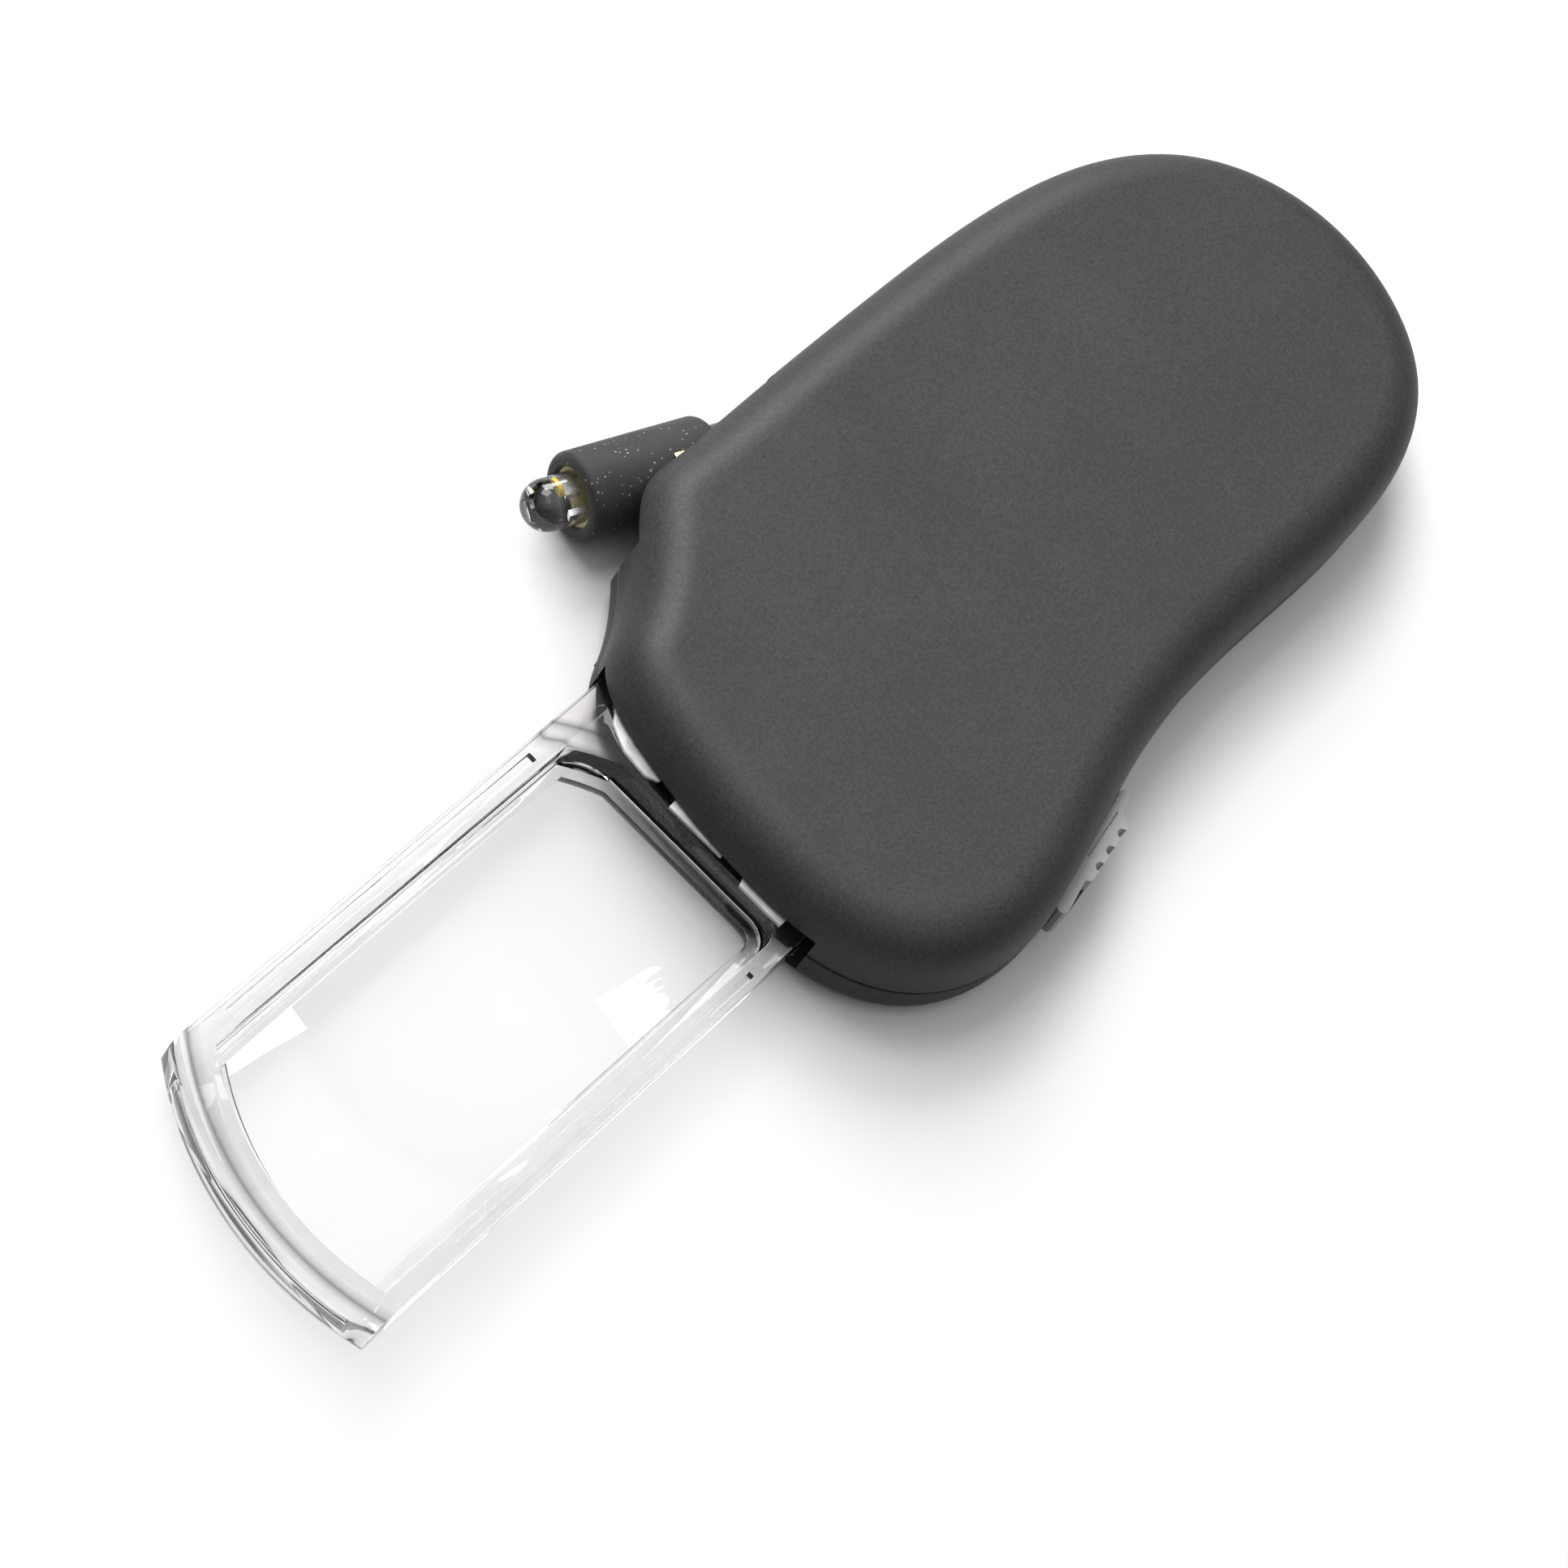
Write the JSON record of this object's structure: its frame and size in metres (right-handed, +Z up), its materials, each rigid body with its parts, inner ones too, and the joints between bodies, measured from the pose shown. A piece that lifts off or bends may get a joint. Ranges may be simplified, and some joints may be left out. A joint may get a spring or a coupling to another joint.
{
  "type": "slide-out illuminated magnifier",
  "caption": "Pocket magnifier: a kidney-shaped matt case with a clear lens slide that draws out of one end and a small swing-out lamp on the side.",
  "frame": {"origin": "centre of the bounding box in plan, on the surface that the case lies on", "axes": "+Z up through the case; X along the lens slide, with the lens drawn out towards -X; +Y towards the lamp side"},
  "size_m": [0.1632, 0.0626, 0.0125],
  "materials": {
    "case": "soft-touch matt charcoal with a fine grain",
    "steel": "zinc-plated",
    "cap": "moulded, fine grain",
    "cell": "bright nickel-plated steel",
    "brass": "bright rolled brass",
    "board": "green solder mask",
    "resistor": "black ceramic with tinned ends",
    "dark_plastic": "black moulded",
    "knob": "satin mid grey",
    "wire_red": "red insulation",
    "wire_black": "black insulation",
    "clear": "clear polished acrylic",
    "lens": "clear polished acrylic",
    "rubber": "matt black rubber",
    "collar": "cream",
    "led_epoxy": "water-clear epoxy",
    "phosphor": "yellow phosphor"
  },
  "bodies": {
    "case": {"lower_case": "case", "upper_case": "case", "case_screws": "steel", "coin_cell_lower": "cell", "coin_cell_upper": "cell", "contact_negative": "brass", "contact_positive": "brass", "circuit_board": "board", "resistor": "resistor", "switch_can": "steel", "switch_base": "dark_plastic", "battery_wire_red": "wire_red", "battery_wire_black": "wire_black", "lamp_wire_red": "wire_red", "lamp_wire_black": "wire_black", "lamp_pivot_rivet": "brass", "lamp_leaf_spring": "brass"},
    "slide": {"lens_carrier": "clear", "magnifying_lens": "lens"},
    "lamp": {"lamp_arm": "dark_plastic", "lamp_sleeve": "rubber", "led_collar": "collar", "led_bulb": "led_epoxy", "led_leads": "steel", "led_chip": "phosphor"},
    "switch": {"switch_knob": "knob", "switch_actuator": "dark_plastic"},
    "cap": {"battery_cap": "cap"}
  },
  "joints": [
    {"name": "lens_slide", "type": "slide", "parent": "case", "child": "slide", "axis": [1, 0, 0], "range_m": [0, 0.056]},
    {"name": "lamp_swing", "type": "hinge", "parent": "case", "child": "lamp", "pos_m": [0.0127, 0.0211, 0.0047], "axis": [0, 0, 1], "range_deg": [-80, 10]},
    {"name": "switch_slide", "type": "slide", "parent": "case", "child": "switch", "axis": [-0.9703, -0.2419, 0], "range_m": [0, 0.0025]},
    {"name": "cap_twist", "type": "hinge", "parent": "case", "child": "cap", "pos_m": [0.064, -0.0005, 0.001], "axis": [0, 0, 1], "range_deg": [0, 40]}
  ]
}
